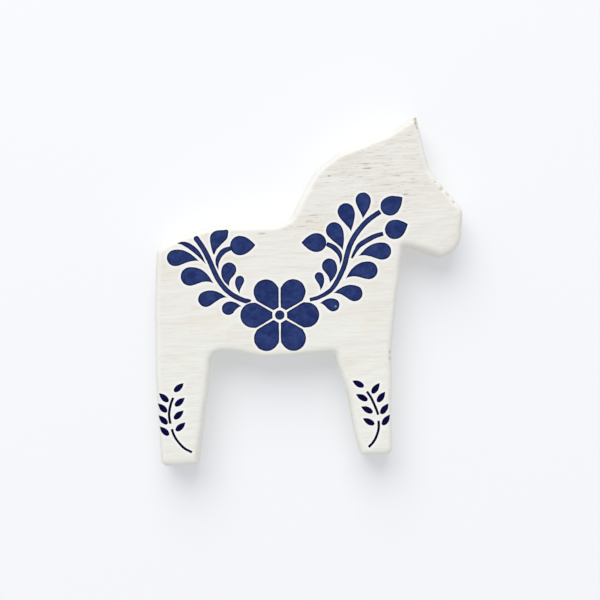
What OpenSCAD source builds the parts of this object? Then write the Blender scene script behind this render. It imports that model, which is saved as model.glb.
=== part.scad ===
// A flat dala horse sawn from one board, with a flower, two garlands and two leg sprigs stencilled
// on its front face. It stands on its feet, facing +X, and its decorated face looks towards -Y.
// The origin is under the middle of the horse, on the surface that it stands on. Units are mm.

/* [Board] */
// Thickness of the board
board_t = 19; // [12:0.5:25]
// Radius of the sanded rounding along both face edges
edge_r = 3.2; // [1.6:0.2:4]

/* [Paint] */
// Thickness of a stencilled paint mark
film_t = 0.15; // [0.1:0.05:0.3]
// Bare gap between two marks that nearly touch
gap = 0.4; // [0.2:0.1:0.8]

/* [Flower] */
// Angle of the first petal above +X
flower_turn = -2.5; // [-10:0.5:10]
// Distance from the middle of the flower to the middle of a petal's round end
petal_reach = 10.8; // [9.5:0.1:11]
// Radius of the dot in the middle of the flower
dot_r = 1.9; // [1:0.1:2.2]

/* [Leg sprigs] */
// Widest part of a sprig leaf
blade_w = 2.4; // [1:0.1:2.8]
// Width of a sprig stem
sprig_stem_w = 1; // [0.5:0.1:1.2]

/* [Hidden] */
PETALS = 6;
FRONT_TWIGS = 2;
FRONT_BUDS = 3;
FRONT_LEAVES = 9;
REAR_TWIGS = 2;
REAR_LEAVES = 7;
SPRIG_LEAVES = 8;
SPRIG_STEMS = 2;

function numbered(name, count) = [for (i = [1 : count]) str(name, "_", i)];

WHITEWASH = [0.91, 0.89, 0.86];
STENCIL_BLUE = [0.10, 0.14, 0.36];
SPRIG_NAVY = [0.03, 0.04, 0.20];

// The front face stands half a film behind the middle, so that the box of board and paint together
// is centred on the origin.
front_y = -(board_t - film_t) / 2;
back_y = front_y + board_t;

// Largest turn between two neighbouring points of a rounded corner, in degrees
arc_step = 15;
// Smallest corner radius that is left when the outline is drawn in
sharp_r = 0.25;
// Steps around the quarter round of the sanded edge
edge_steps = 6;
// Points along a curved mark
curve_steps = 24;
circle_fn = 64;
// Half width at which a pointed mark ends
tip_half = 0.04;
// How fast a drop narrows from its round end to its tip: a plump bud and a slim leaf
bud_taper = 1;
leaf_taper = 1.5;
// A sprig leaf: below 1 its widest part lies nearer the root, and how sharp its two ends are
blade_lean = 0.8;
blade_root = 0.55;
blade_tip = 0.95;

// Corners of the sawn outline as [x, z, radius], anticlockwise from the heel of the rear foot.
outline = [
  [-63, 0, 3], [-48, 0, 1.2],                         // rear sole
  [-40.2, 44.9, 4.5],                                 // back of the arch
  [-31.5, 44.4, 20], [-19.5, 41, 20],                 // belly
  [9, 41.9, 1.5],                                     // front of the arch
  [13.8, 22, 30], [14.8, 12, 30],                     // inside of the front leg
  [17.4, 0, 2.5], [30.2, 0, 3],                       // front sole
  [32.2, 43, 40],                                     // knee
  [38.7, 83.3, 0.8],                                  // throat
  [42, 82.9, 12], [54, 77.7, 3], [61.9, 81.8, 9],     // jaw and chin
  [63.9, 96.8, 5],                                    // nose
  [51.2, 113.5, 6],                                   // brow
  [46.9, 135.8, 0.8],                                 // ear
  [35, 129.2, 20],                                    // poll
  [14.5, 122.3, 12], [4.8, 115.6, 15],                // crest of the neck
  [-5.8, 97.2, 4], [-11.5, 94.9, 8],                  // withers
  [-37, 95.9, 25], [-51, 92, 15],                     // back
  [-60.2, 87.8, 4],                                   // rump
  [-62, 70, 60], [-63.4, 37, 60]                      // back of the rear leg
];

flower_at = [-12.1, 58.4];
// Distance from the middle of the flower at which the petals start
petal_start = 2.9;

// Marks of the front garland. A drop is [x and z of its round end, radius, x and z of its tip, bend].
// A stroke is [points, half width at its start, middle and end].
front_stem = [[[0.2, 63.9], [3.6, 64.6], [7.8, 66.6], [10.4, 69.1], [12.8, 72.9], [14.8, 77],
               [16, 81], [17.6, 85.2], [19.9, 88.9], [23.1, 92.6], [26.2, 95.2], [30.2, 97.6]],
              [0.7, 1.25, 1]];
front_twigs = [[[[8.1, 85.9], [10.6, 84.5], [12.6, 82.4], [13.4, 80], [13, 77.2]], [0.8, 1.6, 0]],
               [[[17.8, 79.6], [19.6, 82.6], [21.2, 84.6], [23.8, 86.2], [27.2, 87.8], [30.9, 88.8]],
                [0.4, 1.4, 0.8]]];
front_buds = [[34.2, 99.6, 3.8, 39.4, 102.9, 0],
              [35.6, 90.2, 3.9, 41, 92.1, 0],
              [4.2, 86.6, 3.8, -1.9, 86.9, 0]];
front_leaves = [[4.4, 73, 1.75, 4.6, 67.2, 1.2],
                [8.7, 77.1, 2.9, 8.4, 70, 1.7],
                [11.4, 91.1, 3.3, 14.5, 82.8, 0.7],
                [16.5, 98.4, 3.35, 18.2, 90.1, 0.5],
                [23.6, 102.6, 3.05, 23, 95, 0.6],
                [30.3, 81.8, 3.45, 20.4, 80.3, -1.8],
                [24.4, 74.4, 3.55, 14.9, 71.5, -2.5],
                [18.3, 65.5, 3.15, 9.7, 66, -1.8],
                [9.4, 61.3, 2.55, 4, 62.3, -1]];

// Marks of the rear garland
rear_stem = [[[-43.8, 90.7], [-41.2, 86.5], [-39.2, 82], [-37.7, 78], [-36, 74], [-33.5, 70.2],
              [-30.5, 67.4], [-27, 65.4], [-23.5, 64.2]],
             [1.1, 1, 1]];
rear_twigs = [[[[-51.7, 89.3], [-49.4, 89.1], [-47, 88], [-44.5, 85.9], [-42.6, 83.6], [-40.6, 80.4]],
               [0, 2.2, 0]],
              [[[-30.2, 86.2], [-33, 85.2], [-35, 83.2], [-36, 80.6], [-35.7, 77.6]], [0.8, 1.7, 0]]];
rear_bud = [-26.6, 87, 3.9, -20.4, 86.9, 0];
rear_leaves = [[-52.7, 83.4, 3.3, -43, 81.5, 1.8],
               [-47.2, 75.7, 3.7, -37.8, 72.4, 2.5],
               [-41.3, 66.3, 3.1, -32.6, 66.5, 1.8],
               [-32.5, 62.1, 2.6, -27.1, 62.7, 1.1],
               [-27.3, 73.2, 1.75, -27.6, 67.7, -1],
               [-31.4, 77.6, 2.9, -31.6, 70.7, -1.9]];
// The top leaf of the rear garland has a flat end, so it is an outline of its own.
rear_top_leaf = [[-37.2, 83.4, 0.3], [-36, 86, 6], [-31.3, 90.2, 3], [-30.7, 93.7, 0.8],
                 [-38.5, 93.4, 3.2], [-38.3, 87.5, 12]];

// A leg sprig is [roots of the leaves on its left, run of a left leaf, the same on its right, stems].
front_sprig = [[[20, 28], [21.2, 22.5], [23, 17.5], [23.4, 12.7]], [-4.5, 2.7],
               [[23.1, 25.2], [25.1, 21.6], [26.2, 16.8], [26.6, 12.3]], [3.3, 4],
               [[[21.1, 26.1], [22.8, 23.2], [24.2, 19.6], [25.2, 16.5]],
                [[25.2, 14.2], [25, 11], [24, 8], [22.5, 5.6], [20.6, 3.8]]]];
rear_sprig = [[[-58.4, 26.1], [-59.2, 22], [-59.2, 17.2], [-58.9, 12.7]], [-3.6, 3.6],
              [[-55.9, 30], [-55.8, 24.2], [-56.5, 19.1], [-56, 14.3]], [4, 3.2],
              [[[-56.4, 27.6], [-57.6, 24.8], [-58.4, 21], [-58.1, 17.3]],
               [[-57.6, 15.1], [-56.8, 12.4], [-55.2, 9.7], [-53, 7.2], [-50, 5.4]]]];

// ---- Plane geometry ----

function unit(v) = v / norm(v);
function left_of(v) = [-v[1], v[0]];
function cross_z(a, b) = a[0] * b[1] - a[1] * b[0];
function spot(c) = [c[0], c[1]];

// Points of a closed outline with rounded corners, drawn in by d. A corner keeps its number of
// points whatever d is, so two outlines with different d match point for point.
function rounded(corners, d = 0) =
  let (n = len(corners))
  [for (i = [0 : n - 1])
     let (p = spot(corners[i]),
          before = spot(corners[(i + n - 1) % n]),
          after = spot(corners[(i + 1) % n]),
          n1 = left_of(unit(p - before)),
          n2 = left_of(unit(after - p)),
          turn = atan2(cross_z(n1, n2), n1 * n2),
          r = turn > 0 ? max(corners[i][2] - d, sharp_r) : -(corners[i][2] + d),
          centre = p + (n1 + n2) / (1 + n1 * n2) * (d + r),
          steps = max(1, ceil(abs(turn) / arc_step)),
          start = atan2(n1[1], n1[0]))
     for (k = [0 : steps])
       let (a = start + turn * k / steps)
       centre - r * [cos(a), sin(a)]];

// A smooth curve through points, as [place, direction] at even steps from the first to the last
function spline(p) =
  let (n = len(p) - 1)
  [for (k = [0 : curve_steps])
     let (s = min(k * n / curve_steps, n - 1e-6),
          i = floor(s),
          t = s - i,
          a = p[max(i - 1, 0)],
          b = p[i],
          c = p[i + 1],
          d = p[min(i + 2, n)],
          m1 = (c - a) / (i == 0 ? 1 : 2),
          m2 = (d - b) / (i == n - 1 ? 1 : 2))
     [(2*t*t*t - 3*t*t + 1) * b + (t*t*t - 2*t*t + t) * m1 + (3*t*t - 2*t*t*t) * c + (t*t*t - t*t) * m2,
      unit((6*t*t - 6*t) * b + (3*t*t - 4*t + 1) * m1 + (6*t - 6*t*t) * c + (3*t*t - 2*t) * m2)]];

// Outline of a band along a curve, whose half width is given at each of its steps
function band(curve, half) =
  concat([for (k = [0 : curve_steps]) curve[k][0] - half[k] * left_of(curve[k][1])],
         [for (k = [curve_steps : -1 : 0]) curve[k][0] + half[k] * left_of(curve[k][1])]);

function mix3(w, t) = w[0] * (1 - t) * (1 - t) + 2 * w[1] * t * (1 - t) + w[2] * t * t;

// ---- Plane shapes of the marks ----

// A brush-like stroke along points
module stroke(mark, grow = 0) {
  polygon(band(spline(mark[0]),
               [for (k = [0 : curve_steps]) max(mix3(mark[1], k / curve_steps), tip_half) + grow]));
}

// A drop: a round end that runs out into a point
module drop(mark, taper) {
  c = spot(mark);
  r = mark[2];
  tip = [mark[3], mark[4]];
  pull = (c + tip) / 2 + mark[5] * left_of(unit(tip - c));
  curve = [for (k = [0 : curve_steps])
             let (t = k / curve_steps)
             [mix3([c, pull, tip], t), unit((1 - t) * (pull - c) + t * (tip - pull))]];
  half = [for (k = [0 : curve_steps])
            let (t = k / curve_steps)
            max(r * pow(1 - t, taper) * (1 + taper * t), tip_half)];
  polygon(band(curve, half));
  translate(c) circle(r, $fn = circle_fn);
}

// A sprig leaf from its blunt root to its sharp tip
module blade(root, run) {
  curve = [for (k = [0 : curve_steps]) [root + run * k / curve_steps, unit(run)]];
  half = [for (k = [0 : curve_steps])
            let (t = k / curve_steps)
            max(blade_w / 2 * pow(sin(180 * pow(t, blade_lean)), blade_root * (1 - t) + blade_tip * t),
                tip_half)];
  polygon(band(curve, half));
}

// A petal: a wedge that widens away from the middle of the flower up to its round end
module petal_shape(i, grow = 0) {
  share = 180 / PETALS;
  inset = (gap - grow) / cos(share);
  r = petal_reach * sin(share) - gap + grow;
  root_half = petal_start * tan(share) - inset;
  shoulder = (r + inset) / tan(share);
  translate(flower_at) rotate(flower_turn + i * 2 * share) {
    translate([petal_reach, 0]) circle(r, $fn = circle_fn);
    polygon([[petal_start, -root_half], [shoulder, -r], [petal_reach, -r],
             [petal_reach, r], [shoulder, r], [petal_start, root_half]]);
  }
}

// ---- Board and paint as solids ----

function at_depth(points, y) = [for (p = points) [p[0], y, p[1]]];

// Rings of the quarter round at one face, from the flat face (step 0) to the side wall. They stand
// proud of the board by grow. The face is at y = face, and inward is +1 or -1 along y.
function edge_rings(face, inward, grow = 0) =
  [for (k = [0 : edge_steps])
     let (a = 90 * k / edge_steps)
     at_depth(rounded(outline, edge_r - (edge_r + grow) * sin(a)),
              face + inward * (edge_r - (edge_r + grow) * cos(a)))];

// A closed belt through rings of equal length, whose last ring meets the first again
module belt(rings) {
  n = len(rings[0]);
  m = len(rings);
  polyhedron(points = [for (ring = rings) for (p = ring) p],
             faces = [for (j = [0 : m - 1]) for (i = [0 : n - 1])
                        let (j2 = (j + 1) % m, i2 = (i + 1) % n)
                        [j * n + i, j * n + i2, j2 * n + i2, j2 * n + i]]);
}

function backwards(list) = [for (k = [len(list) - 1 : -1 : 0]) list[k]];

// A plane shape in x and z, as a solid from y = y0 to y = y1
module slab(y0, y1) {
  translate([0, y1, 0]) rotate([90, 0, 0]) linear_extrude(y1 - y0) children();
}

module horse_body() {
  color(WHITEWASH) {
    slab(front_y, back_y) polygon(rounded(outline, edge_r));
    belt(concat(edge_rings(front_y, 1), backwards(edge_rings(back_y, -1))));
  }
}

// The plane shape as a film of paint on the front face. Where over_edge is set, the film also
// follows the rounding of the edge.
module paint(over_edge = false) {
  slab(front_y - film_t, front_y) intersection() {
    children();
    polygon(rounded(outline, edge_r));
  }
  if (over_edge)
    intersection() {
      slab(front_y - edge_r, front_y + edge_r) children();
      belt(concat(edge_rings(front_y, 1, film_t), backwards(edge_rings(front_y, 1))));
    }
}

// ---- Sub-parts ----

module flower_centre() {
  color(STENCIL_BLUE) paint() translate(flower_at) circle(dot_r, $fn = circle_fn);
}

module flower_petal(i) {
  // the last two petals reach down over the rounded belly edge
  color(STENCIL_BLUE) paint(i >= PETALS - 2) petal_shape(i);
}

module petals_cut() {
  difference() {
    children();
    for (i = [0 : PETALS - 1]) petal_shape(i, gap);
  }
}

module front_garland_stem() {
  color(STENCIL_BLUE) paint() petals_cut() stroke(front_stem);
}

module front_garland_twig(i) {
  color(STENCIL_BLUE) paint() difference() {
    stroke(front_twigs[i]);
    stroke(front_stem, gap / 2);
  }
}

module front_garland_bud(i) {
  color(STENCIL_BLUE) paint() difference() {
    drop(front_buds[i], bud_taper);
    stroke(front_stem, gap / 2);
    for (twig = front_twigs) stroke(twig, gap / 2);
  }
}

module front_garland_leaf(i) {
  color(STENCIL_BLUE) paint() difference() {
    drop(front_leaves[i], leaf_taper);
    stroke(front_stem, gap / 2);
  }
}

module rear_stem_shape(grow = 0) {
  stroke(rear_stem, grow);
  translate(rear_stem[0][0]) circle(rear_stem[1][0] + grow, $fn = circle_fn);
}

module rear_garland_stem() {
  color(STENCIL_BLUE) paint(true) petals_cut() rear_stem_shape();
}

module rear_garland_twig(i) {
  color(STENCIL_BLUE) paint(i == 0) difference() {
    stroke(rear_twigs[i]);
    rear_stem_shape(gap / 2);
  }
}

module rear_garland_bud() {
  color(STENCIL_BLUE) paint() difference() {
    drop(rear_bud, bud_taper);
    for (twig = rear_twigs) stroke(twig);
  }
}

module rear_garland_leaf(i) {
  color(STENCIL_BLUE)
    if (i < len(rear_leaves))
      paint() difference() {
        drop(rear_leaves[i], leaf_taper);
        rear_stem_shape(gap / 2);
      }
    else
      paint(true) polygon(rounded(rear_top_leaf));
}

// Leaves 1 to 4 of a sprig grow on its left and 5 to 8 on its right, from the top down
module sprig_leaf(sprig, i) {
  per_side = SPRIG_LEAVES / 2;
  left = i < per_side;
  color(SPRIG_NAVY) paint(true)
    blade(sprig[left ? 0 : 2][i % per_side], sprig[left ? 1 : 3]);
}

module sprig_stem(sprig, i) {
  half = sprig_stem_w / 2;
  color(SPRIG_NAVY) paint(true) stroke([sprig[4][i], [half, half, half]]);
}

horse_body();
flower_centre();
for (i = [1 : PETALS])
  flower_petal(i - 1);
front_garland_stem();
for (i = [1 : FRONT_TWIGS])
  front_garland_twig(i - 1);
for (i = [1 : FRONT_BUDS])
  front_garland_bud(i - 1);
for (i = [1 : FRONT_LEAVES])
  front_garland_leaf(i - 1);
rear_garland_stem();
for (i = [1 : REAR_TWIGS])
  rear_garland_twig(i - 1);
rear_garland_bud();
for (i = [1 : REAR_LEAVES])
  rear_garland_leaf(i - 1);
for (i = [1 : SPRIG_LEAVES])
  sprig_leaf(front_sprig, i - 1);
for (i = [1 : SPRIG_STEMS])
  sprig_stem(front_sprig, i - 1);
for (i = [1 : SPRIG_LEAVES])
  sprig_leaf(rear_sprig, i - 1);
for (i = [1 : SPRIG_STEMS])
  sprig_stem(rear_sprig, i - 1);
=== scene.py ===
import math

import bpy
import numpy as np
from mathutils import Matrix, Vector, kdtree, noise
from mathutils.bvhtree import BVHTree
from mathutils.geometry import delaunay_2d_cdt


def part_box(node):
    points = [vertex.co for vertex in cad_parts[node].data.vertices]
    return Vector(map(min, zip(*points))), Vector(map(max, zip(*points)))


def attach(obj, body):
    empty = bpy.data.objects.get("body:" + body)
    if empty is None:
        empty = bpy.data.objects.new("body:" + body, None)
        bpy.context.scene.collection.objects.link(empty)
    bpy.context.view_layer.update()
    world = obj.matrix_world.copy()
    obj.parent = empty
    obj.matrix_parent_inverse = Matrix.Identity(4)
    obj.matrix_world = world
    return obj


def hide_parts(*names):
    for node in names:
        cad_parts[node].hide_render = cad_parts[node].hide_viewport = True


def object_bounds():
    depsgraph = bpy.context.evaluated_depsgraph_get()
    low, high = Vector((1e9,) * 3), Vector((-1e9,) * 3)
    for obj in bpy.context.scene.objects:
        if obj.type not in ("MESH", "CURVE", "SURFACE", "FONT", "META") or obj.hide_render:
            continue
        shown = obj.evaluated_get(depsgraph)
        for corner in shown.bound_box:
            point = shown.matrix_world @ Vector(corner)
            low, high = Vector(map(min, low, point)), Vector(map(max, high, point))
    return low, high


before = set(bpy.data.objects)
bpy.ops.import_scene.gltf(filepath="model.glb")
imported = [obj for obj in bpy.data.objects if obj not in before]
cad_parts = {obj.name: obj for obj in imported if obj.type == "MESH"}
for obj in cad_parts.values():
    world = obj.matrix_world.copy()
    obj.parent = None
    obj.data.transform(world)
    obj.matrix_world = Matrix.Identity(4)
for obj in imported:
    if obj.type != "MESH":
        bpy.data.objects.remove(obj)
cad_low, cad_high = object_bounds()
board_low, board_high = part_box("horse_body")
middle = (cad_low + cad_high) / 2

# A flat dala horse cut from one board, whitewashed and then stencilled with a flower, two garlands
# and two leg sprigs. It faces +X and its decorated face looks towards -Y. Lengths are in mm in this
# script and turn into metres where a mesh or an object is made. Only the lights are given in metres.

MM = 0.001
FRONT = board_low.y / MM           # the board's front face
BACK = board_high.y / MM
EDGE_R = 3.2                       # rounding along both face edges

# ---- Board ----
VOXEL = 0.56                       # size of the board's mesh cells
FACE_WAVE = 0.10                   # unevenness left by hand sanding, on the faces
EDGE_WAVE = 0.35                   # and on the rounded edges
EDGE_WORN = (0.02, 1.2)            # how far below the face the edges' unevenness starts, and is full
GRAIN_DEPTH = 0.025                # furrows between the raised lines of grain

# Chips and knocks on the front edge: x, z, radius, depth
CHIPS = [(52.8, 108.3, 0.9, 0.3), (53.4, 106.6, 0.8, 0.3), (55.0, 105.4, 1.2, 0.4),
         (57.4, 103.0, 0.8, 0.3), (59.6, 99.9, 0.8, 0.3), (46.2, 134.4, 1.1, 0.5),
         (46.6, 132.4, 0.9, 0.3), (47.0, 130.4, 0.8, 0.25), (31.5, 41.2, 0.7, 0.2),
         (31.4, 38.6, 0.7, 0.2)]
CHIP_BELOW = 1.2                   # how far the chips' middles lie below the face
CHIP_RAGGED = 0.35                 # unevenness of a chip's outline, as a share of its radius
# Small dark marks in the wood of the face: x, z, half length, half height, strength
STREAKS = [(10.5, 113.0, 0.8, 0.45, 1.0), (25.0, 117.2, 2.6, 0.3, 0.8), (25.8, 115.2, 2.2, 0.35, 1.0),
           (38.0, 111.6, 1.4, 0.3, 0.7), (33.0, 108.2, 3.0, 0.25, 0.6), (40.6, 104.0, 1.5, 0.45, 0.9),
           (3.4, 97.6, 2.5, 0.3, 0.6), (1.5, 95.2, 2.0, 0.3, 0.6), (-1.5, 93.4, 2.6, 0.3, 0.5),
           (-17.6, 91.3, 2.0, 0.4, 0.8), (35.5, 124.5, 2.4, 0.25, 0.5), (31.0, 120.0, 2.8, 0.25, 0.45),
           (44.0, 108.5, 2.2, 0.25, 0.5), (9.4, 37.8, 0.5, 0.5, 0.8)]

# ---- Paint ----
PAINT_H = 0.07                     # height of a paint film over the wood
PAINT_RIM_H = 0.015                # and at its rim
PAINT_SUNK = 0.04                  # how far its underside reaches into the wood
PAINT_WAVE = 0.012                 # unevenness of its top
PAINT_WAVE_CELL = 1.3              # waves to the mm in that unevenness
BEVEL = 0.13                       # width of the film's sloping border
GRID = 0.45                        # spacing of a film's inner points
GRID_ROW = 0.87                    # distance between its rows, as a share of that spacing
FINER_GRIDS = ((2, 0.85), (4, 0.55))   # how many times finer, where the board faces front less than this
OUTLINE_STEP = 0.3                 # spacing of the points along its outline
SMOOTH_TURN = math.radians(32)     # an outline that turns by less than this at a point is smooth there
STENCIL_WOBBLE = 0.07              # unevenness of the stencilled outlines
WOBBLE_CELL = 1.4                  # and its size along them
HALO = 0.8                         # width of the cleaner wood beside a mark
FAR = 9.0                          # a distance from every mark that is past its halo
SAME_POINT = 0.01                  # two points of a CAD mesh that are closer than this are one

noise.seed_set(1)                  # without a fixed seed, noise_vector differs from run to run


# ---- Helpers ----

def new_object(name, mesh):
    obj = bpy.data.objects.new(name, mesh)
    bpy.context.scene.collection.objects.link(obj)
    return obj


def waves(points, cell, seed):
    """Smooth noise of about -1 to 1 at points, with a cell size for each axis."""
    apart, gain = 17.3, 1.6
    scaled = points / np.array(cell) + seed * apart
    return np.array([noise.noise(Vector(p)) for p in scaled]) * gain


def smoothstep(value, low, high):
    t = np.clip((value - low) / (high - low), 0, 1)
    return t * t * (3 - 2 * t)


def set_attribute(mesh, name, values):
    attribute = mesh.attributes.new(name, "FLOAT", "POINT")
    attribute.data.foreach_set("value", np.asarray(values, np.float32))


def vertex_array(mesh):
    co = np.zeros(len(mesh.vertices) * 3, np.float32)
    mesh.vertices.foreach_get("co", co)
    return co.reshape(-1, 3).astype(float)


def bvh_of(mesh):
    return BVHTree.FromPolygons([v.co for v in mesh.vertices], [p.vertices for p in mesh.polygons])


def tree_of(points):
    """A search tree of points in the plane of the face."""
    tree = kdtree.KDTree(len(points))
    for i, p in enumerate(points):
        tree.insert((p.x, p.y, 0), i)
    tree.balance()
    return tree


def distance_to(tree, x, z):
    return tree.find((x, z, 0))[2]


def rgb(r, g, b):
    """A colour from its sRGB values of 0 to 255."""
    def linear(c):
        c /= 255
        return c / 12.92 if c <= 0.04045 else ((c + 0.055) / 1.055) ** 2.4
    return linear(r), linear(g), linear(b), 1.0


# ---- The board ----

def make_board():
    """The board's solid again as an even, fine mesh, rubbed and sanded a little, always inwards."""
    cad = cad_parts["horse_body"]
    source = cad.data.copy()
    block = new_object("board_source", source)
    weld = block.modifiers.new("weld", "WELD")
    weld.merge_threshold = SAME_POINT * MM
    remesh = block.modifiers.new("remesh", "REMESH")
    remesh.mode = "VOXEL"
    remesh.voxel_size = VOXEL * MM
    graph = bpy.context.evaluated_depsgraph_get()
    mesh = bpy.data.meshes.new_from_object(block.evaluated_get(graph))
    bpy.data.objects.remove(block)
    bpy.data.meshes.remove(source)

    surface = bvh_of(cad.data)
    place, normal = [], []
    for co in vertex_array(mesh):
        hit, n, _, _ = surface.find_nearest(Vector(co))
        place.append(hit)
        normal.append(n)
    place = np.array([tuple(p) for p in place]) / MM
    normal = np.array([tuple(n) for n in normal])

    below = np.minimum(place[:, 1] - FRONT, BACK - place[:, 1])
    on_edge = smoothstep(below, *EDGE_WORN)
    depth = FACE_WAVE * (1 + waves(place, (34, 20, 22), 1)) / 2
    depth += on_edge * EDGE_WAVE * (1 + waves(place, (11, 12, 9), 2)) / 2
    fibre = waves(place, (34, 2.6, 2.2), 3) + 0.5 * waves(place, (18, 1.5, 1.3), 4)
    depth += GRAIN_DEPTH * (1 + fibre) / 2
    bare = np.zeros(len(place))
    for x, z, radius, deep in CHIPS:
        ragged = radius * (1 + CHIP_RAGGED * waves(place, (0.9, 0.9, 0.9), 5))
        away = np.linalg.norm(place - np.array([x, FRONT + CHIP_BELOW, z]), axis=1)
        chip = 1 - smoothstep(away, 0.5 * ragged, 1.7 * ragged)
        depth += deep * chip
        bare = np.maximum(bare, chip)
    place -= normal * depth[:, None]
    mesh.vertices.foreach_set("co", (place * MM).astype(np.float32).ravel())
    mesh.update()
    set_attribute(mesh, "bare", bare)
    # the edge attribute: whiter sanded edges, and a painted highlight that is stronger where the edge
    # faces up
    facing_up = smoothstep(normal[:, 2], -0.2, 0.4)
    set_attribute(mesh, "edge", smoothstep(below, 0.0, 0.3) * (0.3 + 0.7 * facing_up))
    mesh.shade_smooth()
    return new_object("board", mesh)


# ---- Paint films ----

def outlines(mesh):
    """Closed outlines in x and z, in mm, of the part of a mark that faces the front."""
    near = kdtree.KDTree(len(mesh.vertices))
    for i, v in enumerate(mesh.vertices):
        near.insert(v.co, i)
    near.balance()
    ids = [min(i for _, i, _ in near.find_range(v.co, SAME_POINT * MM)) for v in mesh.vertices]
    mesh.calc_loop_triangles()
    edges = set()
    for triangle in mesh.loop_triangles:
        a, b, c = (ids[i] for i in triangle.vertices)
        if triangle.normal.y < -0.02 and len({a, b, c}) == 3:
            edges.update([(a, b), (b, c), (c, a)])
    steps = {a: b for a, b in edges if (b, a) not in edges}
    loops = []
    while steps:
        start, point = steps.popitem()
        loop = [start]
        while point in steps:
            loop.append(point)
            point = steps.pop(point)
        if len(loop) > 3 and point == start:
            loops.append([mesh.vertices[i].co.xz / MM for i in loop])
    if not loops:
        raise ValueError("no closed outline in " + mesh.name)
    return loops


def smoothed(loop):
    """The outline with even points on smooth curves between its corners."""
    n = len(loop)
    along = [loop[(i + 1) % n] - loop[i] for i in range(n)]
    soft = [min(along[i - 1].length, along[i].length) > 0 and along[i - 1].angle(along[i]) < SMOOTH_TURN
            for i in range(n)]
    points = []
    for i in range(n):
        a, b, c, d = loop[i - 1], loop[i], loop[(i + 1) % n], loop[(i + 2) % n]
        length = (c - b).length
        m1 = (c - a).normalized() * length if soft[i] else c - b
        m2 = (d - b).normalized() * length if soft[(i + 1) % n] else c - b
        count = max(1, math.ceil(length / OUTLINE_STEP))
        for k in range(count):
            t = k / count
            p = ((2 * t**3 - 3 * t**2 + 1) * b + (t**3 - 2 * t**2 + t) * m1
                 + (3 * t**2 - 2 * t**3) * c + (t**3 - t**2) * m2)
            points.append(p)
    return points


def wobbled(loop, seed):
    """The outline with the small unevenness of paint that crept under the stencil."""
    places = [Vector((p.x / WOBBLE_CELL, p.y / WOBBLE_CELL, seed)) for p in loop]
    return [p + STENCIL_WOBBLE * noise.noise_vector(place).to_2d() for p, place in zip(loop, places)]


def on_board(board, x, z):
    """Where the board's surface lies behind x, z, and its outward normal."""
    in_front = 5
    hit, n, _, _ = board.ray_cast(Vector((x, FRONT - in_front, z)) * MM, Vector((0, 1, 0)))
    if hit is None:
        hit, n, _, _ = board.find_nearest(Vector((x, FRONT + 0.9 * EDGE_R, z)) * MM)
    return hit / MM, n


def facing_front(board, x, z):
    """1 where the board behind x, z faces the front, down to 0 where it faces sideways."""
    return -on_board(board, x, z)[1].y


def grid(loops, step):
    """Staggered rows of places over the box of the outlines, about a step apart."""
    xs = [p.x for loop in loops for p in loop]
    zs = [p.y for loop in loops for p in loop]
    for row, z in enumerate(np.arange(min(zs), max(zs), step * GRID_ROW)):
        for x in np.arange(min(xs) + (row % 2) * step / 2, max(xs), step):
            yield x, z


def inner_points(loops, board, rim):
    """Points for a film: a row along its rim, then a grid that is finer on the rounded edge."""
    points = []
    for loop in loops:
        for i, p in enumerate(loop):
            along = (loop[(i + 1) % len(loop)] - loop[i - 1]).normalized()
            q = p + BEVEL * Vector((-along.y, along.x))
            if distance_to(rim, q.x, q.y) > 0.9 * BEVEL:
                points.append(q)
    clear = 0.6                        # of a step, between the grid and the rim
    for x, z in grid(loops, GRID):
        if distance_to(rim, x, z) >= clear * GRID + BEVEL:
            points.append(Vector((x, z)))
    flattest = FINER_GRIDS[0][1]
    for finer, flat in FINER_GRIDS:
        sample = points[:: max(1, len(points) // 60)]
        if min(facing_front(board, p.x, p.y) for p in sample) > flattest:
            break                      # the film doesn't reach the rounded edge
        step = GRID / finer
        for x, z in grid(loops, step):
            if distance_to(rim, x, z) >= clear * step and facing_front(board, x, z) < flat:
                points.append(Vector((x, z)))
    return points


def make_film(name, board, seed):
    """A stencilled mark as a thin film of paint that lies on the board's worn surface.

    Gives the film and its outlines.
    """
    loops = [wobbled(smoothed(loop), seed) for loop in outlines(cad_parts[name].data)]
    plane = [p for loop in loops for p in loop]
    rim = tree_of(plane)
    edges, first = [], 0
    for loop in loops:
        edges += [(first + i, first + (i + 1) % len(loop)) for i in range(len(loop))]
        first += len(loop)
    plane += inner_points(loops, board, rim)
    inside_only, smallest = 1, 1e-5
    flat, _, faces, _, _, _ = delaunay_2d_cdt(plane, edges, [], inside_only, smallest)
    count = len(flat)
    over, under, away = [], [], []
    for p in flat:
        distance = distance_to(rim, p.x, p.y)
        hit, n = on_board(board, p.x, p.y)
        t = min(1.0, distance / BEVEL)
        height = PAINT_RIM_H + (PAINT_H - PAINT_RIM_H) * t * (2 - t)
        height += PAINT_WAVE * t * noise.noise(Vector((p.x, p.y, seed)) * PAINT_WAVE_CELL)
        over.append((hit + height * n) * MM)
        under.append((hit - PAINT_SUNK * n) * MM)
        away.append(distance)
    sides = {side: None for face in faces for side in zip(face, face[1:] + face[:1])}
    border = [(a, b) for a, b in sides if (b, a) not in sides]
    all_faces = [list(f) for f in faces] + [[i + count for i in reversed(f)] for f in faces]
    all_faces += [[b, a, a + count, b + count] for a, b in border]
    mesh = bpy.data.meshes.new("painted_" + name)
    mesh.from_pydata(over + under, [], all_faces)
    mesh.update()
    if sum(p.area * p.normal.y for p in mesh.polygons[: len(faces)]) > 0:
        mesh.flip_normals()
    set_attribute(mesh, "rim", away + away)
    mesh.shade_smooth()
    sharp = {frozenset(e) for e in border}
    for edge in mesh.edges:
        edge.use_edge_sharp = frozenset(edge.vertices) in sharp
    film = new_object("painted_" + name, mesh)
    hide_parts(name)
    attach(film, "root")
    return film, loops


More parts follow.
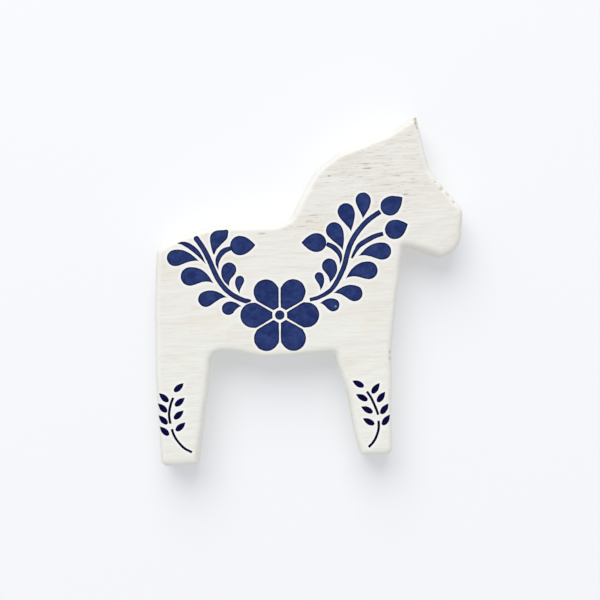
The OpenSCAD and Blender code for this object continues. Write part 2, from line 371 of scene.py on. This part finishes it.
def mark_halo(mesh, loops):
    """The wood right beside a mark was masked by the stencil, so it stays cleaner and whiter."""
    rim = tree_of([p for loop in loops for p in loop])
    place = vertex_array(mesh) / MM
    away = np.array([distance_to(rim, x, z) if y < FRONT + EDGE_R else FAR for x, y, z in place])
    set_attribute(mesh, "halo", 1 - smoothstep(away, HALO / 2, HALO * 1.5))


# ---- Materials ----

class Look:
    """One material, with short calls for its nodes. Points are in mm in the frame's axes."""

    def __init__(self, name):
        self.material = bpy.data.materials.new(name)
        self.material.use_nodes = True
        self.nodes = self.material.node_tree.nodes
        self.links = self.material.node_tree.links
        self.shader = self.nodes["Principled BSDF"]
        coordinates = self.nodes.new("ShaderNodeTexCoord").outputs["Object"]
        self.point = self.vector("MULTIPLY", coordinates, (1 / MM,) * 3)

    def plug(self, socket, value):
        if isinstance(value, bpy.types.NodeSocket):
            self.links.new(value, socket)
        else:
            socket.default_value = value

    def vector(self, operation, a, b=(0, 0, 0)):
        node = self.nodes.new("ShaderNodeVectorMath")
        node.operation = operation
        self.plug(node.inputs[0], a)
        self.plug(node.inputs[1], b)
        return node.outputs["Value" if operation in ("LENGTH", "DISTANCE") else "Vector"]

    def math(self, operation, a, b=0.0):
        node = self.nodes.new("ShaderNodeMath")
        node.operation = operation
        self.plug(node.inputs[0], a)
        self.plug(node.inputs[1], b)
        return node.outputs[0]

    def noise(self, cell, detail=2.0, roughness=0.5, warp=0.0, shift=0.0):
        """Noise of 0 to 1 with a cell size in mm for each axis."""
        at = self.vector("DIVIDE", self.point, cell)
        if shift:
            at = self.vector("ADD", at, (shift, shift * 1.7, shift * 0.6))
        node = self.nodes.new("ShaderNodeTexNoise")
        self.plug(node.inputs["Vector"], at)
        node.inputs["Scale"].default_value = 1.0
        node.inputs["Detail"].default_value = detail
        node.inputs["Roughness"].default_value = roughness
        node.inputs["Distortion"].default_value = warp
        return node.outputs["Fac"]

    def span(self, value, low, high, to_low=0.0, to_high=1.0):
        """value from low to high, smoothly turned into to_low to to_high."""
        node = self.nodes.new("ShaderNodeMapRange")
        node.interpolation_type = "SMOOTHSTEP"
        for socket, v in zip(node.inputs, (value, low, high, to_low, to_high)):
            self.plug(socket, v)
        return node.outputs[0]

    def mix(self, factor, a, b):
        node = self.nodes.new("ShaderNodeMix")
        node.data_type = "RGBA"
        self.plug(node.inputs["Factor"], factor)
        self.plug(node.inputs["A"], a)
        self.plug(node.inputs["B"], b)
        return node.outputs["Result"]

    def near(self, centre, inner, outer):
        """1 within inner of centre, fading to 0 at outer."""
        return self.span(self.vector("DISTANCE", self.point, centre), inner, outer, 1.0, 0.0)

    def spot(self, centre, half, inner, outer, strength=1.0):
        """strength inside an oval with these half sizes, fading to 0 from inner to outer of them."""
        away = self.vector("DIVIDE", self.vector("SUBTRACT", self.point, centre), half)
        return self.span(self.vector("LENGTH", away), inner, outer, strength, 0.0)

    def attribute(self, name):
        node = self.nodes.new("ShaderNodeAttribute")
        node.attribute_name = name
        return node.outputs["Fac"]

    def bump(self, height, distance, strength, normal=None):
        node = self.nodes.new("ShaderNodeBump")
        node.inputs["Strength"].default_value = strength
        node.inputs["Distance"].default_value = distance * MM
        self.plug(node.inputs["Height"], height)
        if normal is not None:
            self.plug(node.inputs["Normal"], normal)
        return node.outputs["Normal"]


PITH = (-46.0, -58.0)              # moves y and z so that they are 0 at the middle of the tree
RING = 2.9                         # width of a growth ring
RING_DRIFT = 5.0                   # how far the rings wander
HEAD_PATCH = (32, -9, 117)         # where the wash is thinnest: the head, and the foot of the neck
NECK_PATCH = (1, -9, 95)
SPOT_DEEP = 2.0                    # half depth of a dark mark and of the fleck, behind the face
FLECK = (10.4, FRONT, 60.7)        # a place in a leaf that the paint missed
FLECK_HALF = (0.35, SPOT_DEEP, 0.45)

WASH_THIN = rgb(237, 235, 228)
WASH_THICK = rgb(241, 240, 234)
WASH_LOW = rgb(243, 244, 238)      # towards the feet
YELLOWED = rgb(236, 228, 208)
SUNK_WASH = rgb(228, 223, 213)
FIBRE = rgb(217, 212, 203)
LATE_WOOD = rgb(222, 211, 196)
DASH = rgb(160, 146, 132)
DARK_MARK = rgb(120, 106, 92)
MASKED_WOOD = rgb(250, 249, 245)
# the next colour is sanded edge wood, and also a painted highlight along the edges that face up
SANDED_EDGE_AND_HIGHLIGHT = rgb(250, 249, 244)
BARE_WOOD = rgb(186, 168, 136)


def whitewashed_pine():
    look = Look("whitewashed_pine")
    split = look.nodes.new("ShaderNodeSeparateXYZ")
    look.plug(split.inputs[0], look.point)

    # growth rings round a pith that lies far behind the board, so that their lines run along it
    drift = look.noise((90, 30, 26), detail=2.0)
    drift = look.span(drift, 0.25, 0.75, -RING_DRIFT, RING_DRIFT)
    across = look.math("POWER", look.math("ADD", split.outputs["Z"], PITH[1]), 2.0)
    behind = look.math("POWER", look.math("ADD", split.outputs["Y"], PITH[0]), 2.0)
    radius = look.math("SQRT", look.math("ADD", across, behind))
    ring = look.math("FRACT", look.math("DIVIDE", look.math("ADD", radius, drift), RING))
    late_wood = look.math("MULTIPLY", look.span(ring, 0.35, 0.9), look.span(ring, 0.99, 0.93))

    # long fibres, short dark dashes where the wash has sunk in, and broad clouds in the wash
    fibre = look.noise((9, 0.7, 0.55), detail=3.0, roughness=0.7)
    streak = look.noise((38, 3.2, 2.4), detail=3.0, roughness=0.6, shift=3.1)
    head = look.near(HEAD_PATCH, 12.0, 34.0)
    neck = look.near(NECK_PATCH, 4.0, 14.0)
    thin_wash = look.math("MAXIMUM", look.math("MAXIMUM", head, neck), 0.18)
    dash = look.noise((3.6, 0.9, 0.42), detail=2.0, roughness=0.6, shift=7.7)
    dash = look.math("MULTIPLY", look.span(dash, 0.58, 0.74), thin_wash)
    cloud = look.noise((26, 20, 14), detail=2.0, roughness=0.5, shift=11.0)
    yellow = look.noise((19, 12, 12), detail=1.0, roughness=0.5, shift=19.0)
    yellow = look.span(yellow, 0.55, 0.75)
    low = look.span(split.outputs["Z"], 30.0, 92.0, 1.0, 0.0)

    colour = look.mix(look.span(cloud, 0.3, 0.7), WASH_THIN, WASH_THICK)
    colour = look.mix(look.math("MULTIPLY", low, 0.8), colour, WASH_LOW)
    colour = look.mix(look.math("MULTIPLY", yellow, 0.35), colour, YELLOWED)
    colour = look.mix(look.span(streak, 0.45, 0.75, 0.0, 0.3), colour, SUNK_WASH)
    shows = look.math("ADD", look.math("MULTIPLY", head, 0.25), 0.42)
    tone = look.math("MULTIPLY", look.span(fibre, 0.4, 0.75), shows)
    colour = look.mix(tone, colour, FIBRE)
    colour = look.mix(look.math("MULTIPLY", late_wood, 0.16), colour, LATE_WOOD)
    colour = look.mix(look.math("MULTIPLY", dash, 0.5), colour, DASH)
    for x, z, half_x, half_z, strength in STREAKS:
        mark = look.spot((x, FRONT, z), (half_x, SPOT_DEEP, half_z), 0.2, 1.3, 0.55 * strength)
        colour = look.mix(mark, colour, DARK_MARK)

    # whiter beside the marks, whiter on the rounded edges (sanded wood, and a painted highlight that is
    # stronger on edges that face up), and wood where a chip has come off
    colour = look.mix(look.math("MULTIPLY", look.attribute("halo"), 0.85), colour, MASKED_WOOD)
    worn_and_highlit = look.math("MULTIPLY", look.attribute("edge"), look.span(cloud, 0.3, 0.65, 0.7, 0.95))
    colour = look.mix(worn_and_highlit, colour, SANDED_EDGE_AND_HIGHLIGHT)
    bare = look.span(look.attribute("bare"), 0.2, 0.8)
    ragged = look.noise((1.1, 1.1, 0.8), detail=2.0, roughness=0.6, shift=23.0)
    ragged = look.span(ragged, 0.35, 0.65, 0.25, 0.8)
    colour = look.mix(look.math("MULTIPLY", bare, ragged), colour, BARE_WOOD)

    look.plug(look.shader.inputs["Base Color"], colour)
    look.plug(look.shader.inputs["Roughness"], look.span(fibre, 0.3, 0.7, 0.6, 0.76))
    look.shader.inputs["Specular IOR Level"].default_value = 0.3
    relief = look.math("SUBTRACT", fibre, look.math("MULTIPLY", dash, 0.8))
    look.plug(look.shader.inputs["Normal"], look.bump(relief, distance=0.06, strength=0.6))
    return look.material


def stencil_paint(name, dark, light, rim_colour, speck_colour):
    """Thin matt paint, dabbed on through a stencil: mottled, darker along its rim, pricked with wood."""
    look = Look(name)
    dab = look.noise((2.6, 2.6, 2.2), detail=3.0, roughness=0.6, warp=0.4)
    grain = look.noise((7, 1, 0.7), detail=3.0, roughness=0.6, shift=4.0)
    colour = look.mix(look.span(dab, 0.3, 0.72), dark, light)
    colour = look.mix(look.span(grain, 0.55, 0.8, 0.0, 0.35), colour, light)
    rim = look.span(look.attribute("rim"), 0.1, 0.85, 1.0, 0.0)
    colour = look.mix(look.math("MULTIPLY", rim, 0.9), colour, rim_colour)
    prick = look.noise((0.9, 0.9, 0.55), detail=1.0, roughness=0.5, shift=9.0)
    prick = look.math("MULTIPLY", look.span(prick, 0.76, 0.82), 0.5)
    fleck = look.spot(FLECK, FLECK_HALF, 0.6, 1.2)
    colour = look.mix(look.math("MAXIMUM", prick, fleck), colour, speck_colour)
    look.plug(look.shader.inputs["Base Color"], colour)
    look.plug(look.shader.inputs["Roughness"], look.span(dab, 0.3, 0.7, 0.55, 0.72))
    look.shader.inputs["Specular IOR Level"].default_value = 0.05
    dabs = look.bump(dab, distance=0.05, strength=0.5)
    look.plug(look.shader.inputs["Normal"], look.bump(grain, distance=0.04, strength=0.5, normal=dabs))
    return look.material


# ---- The object ----

board_object = make_board()
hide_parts("horse_body")
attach(board_object, "root")
board_object.data.materials.clear()
board_object.data.materials.append(whitewashed_pine())

board_surface = bvh_of(board_object.data)
all_rims = []
garland_blue = stencil_paint("stencil_blue", dark=rgb(30, 46, 98), light=rgb(50, 66, 120),
                             rim_colour=rgb(4, 10, 62), speck_colour=rgb(150, 150, 160))
leg_navy = stencil_paint("sprig_navy", dark=rgb(0, 0, 56), light=rgb(8, 10, 70),
                         rim_colour=rgb(0, 0, 46), speck_colour=rgb(90, 90, 120))
for order, mark in enumerate(sorted(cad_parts)):
    if mark == "horse_body":
        continue
    on_leg = "_leg_" in mark
    painted, rims = make_film(mark, board_surface, order)
    all_rims += rims
    painted.data.materials.append(leg_navy if on_leg else garland_blue)
mark_halo(board_object.data, all_rims)


# ---- Stage, light and camera ----

BACKING_HALF = 3000.0              # half the width of the pale sheet
BACKING_GAP = 0.3                  # and its distance behind the horse's back
VIEW_WIDTH = 240.0                 # width that the picture takes in at the board's front face
VIEW_DISTANCE = 600.0
VIEW_CENTRE = (-3.7, FRONT, 64.0)
VIEW_ROLL = math.radians(3)        # the horse leans back by this much in the picture
SENSOR = 36.0
NEAREST, FARTHEST = 10.0, 20000.0  # what the camera takes in, by distance


def make_backing():
    """The pale sheet that the horse lies on. It can't be seen from behind, and casts no shadow."""
    half, y = BACKING_HALF * MM, (BACK + BACKING_GAP) * MM
    mesh = bpy.data.meshes.new("backing")
    corners = [(-half, y, -half), (half, y, -half), (half, y, half), (-half, y, half)]
    mesh.from_pydata(corners, [], [(0, 1, 2, 3)])
    backing = new_object("backing", mesh)
    look = Look("backing")
    look.shader.inputs["Base Color"].default_value = rgb(249, 250, 253)
    look.shader.inputs["Roughness"].default_value = 0.9
    look.shader.inputs["Specular IOR Level"].default_value = 0.0
    clear = look.nodes.new("ShaderNodeBsdfTransparent")
    sides = look.nodes.new("ShaderNodeNewGeometry")
    either = look.nodes.new("ShaderNodeMixShader")
    look.plug(either.inputs[0], sides.outputs["Backfacing"])
    look.plug(either.inputs[1], look.shader.outputs[0])
    look.plug(either.inputs[2], clear.outputs[0])
    look.plug(look.nodes["Material Output"].inputs["Surface"], either.outputs[0])
    mesh.materials.append(look.material)
    backing.visible_diffuse = False
    backing.visible_glossy = False
    backing.visible_transmission = False
    backing.visible_shadow = False


def add_light(name, towards, distance, size, power, colour):
    """A round area light, in direction towards from the middle of the horse and aimed at it."""
    light = bpy.data.lights.new(name, "AREA")
    light.shape = "DISK"
    light.size = size
    light.energy = power
    light.color = colour
    lamp = bpy.data.objects.new(name, light)
    bpy.context.scene.collection.objects.link(lamp)
    direction = Vector(towards).normalized()
    lamp.location = middle + direction * distance
    lamp.rotation_euler = direction.to_track_quat("Z", "Y").to_euler()


make_backing()
add_light("key", towards=(-2.6, -14.0, 13.0), distance=4.0, size=3.8, power=80.0,
          colour=(1.0, 0.985, 0.965))
add_light("back_fill", towards=(0.5, 1.0, 0.5), distance=1.5, size=1.2, power=3.0,
          colour=(1.0, 1.0, 1.0))

world = bpy.data.worlds.new("world")
bpy.context.scene.world = world
world.use_nodes = True
sky = world.node_tree.nodes["Background"].inputs
sky["Color"].default_value = (0.97, 0.98, 1.0, 1.0)
sky["Strength"].default_value = 0.7
bpy.context.scene.view_settings.view_transform = "Standard"

camera_data = bpy.data.cameras.new("camera")
camera_data.sensor_width = SENSOR
camera_data.lens = SENSOR * VIEW_DISTANCE / VIEW_WIDTH
camera_data.clip_start = NEAREST * MM
camera_data.clip_end = FARTHEST * MM
camera = bpy.data.objects.new("camera", camera_data)
bpy.context.scene.collection.objects.link(camera)
image_up = Vector((math.sin(VIEW_ROLL), 0, math.cos(VIEW_ROLL)))
image_right = Vector((math.cos(VIEW_ROLL), 0, -math.sin(VIEW_ROLL)))
turn = Matrix((image_right, image_up, Vector((0, -1, 0)))).transposed()
stands_at = (Vector(VIEW_CENTRE) + Vector((0, -VIEW_DISTANCE, 0))) * MM
camera.matrix_world = Matrix.Translation(stands_at) @ turn.to_4x4()
bpy.context.scene.camera = camera
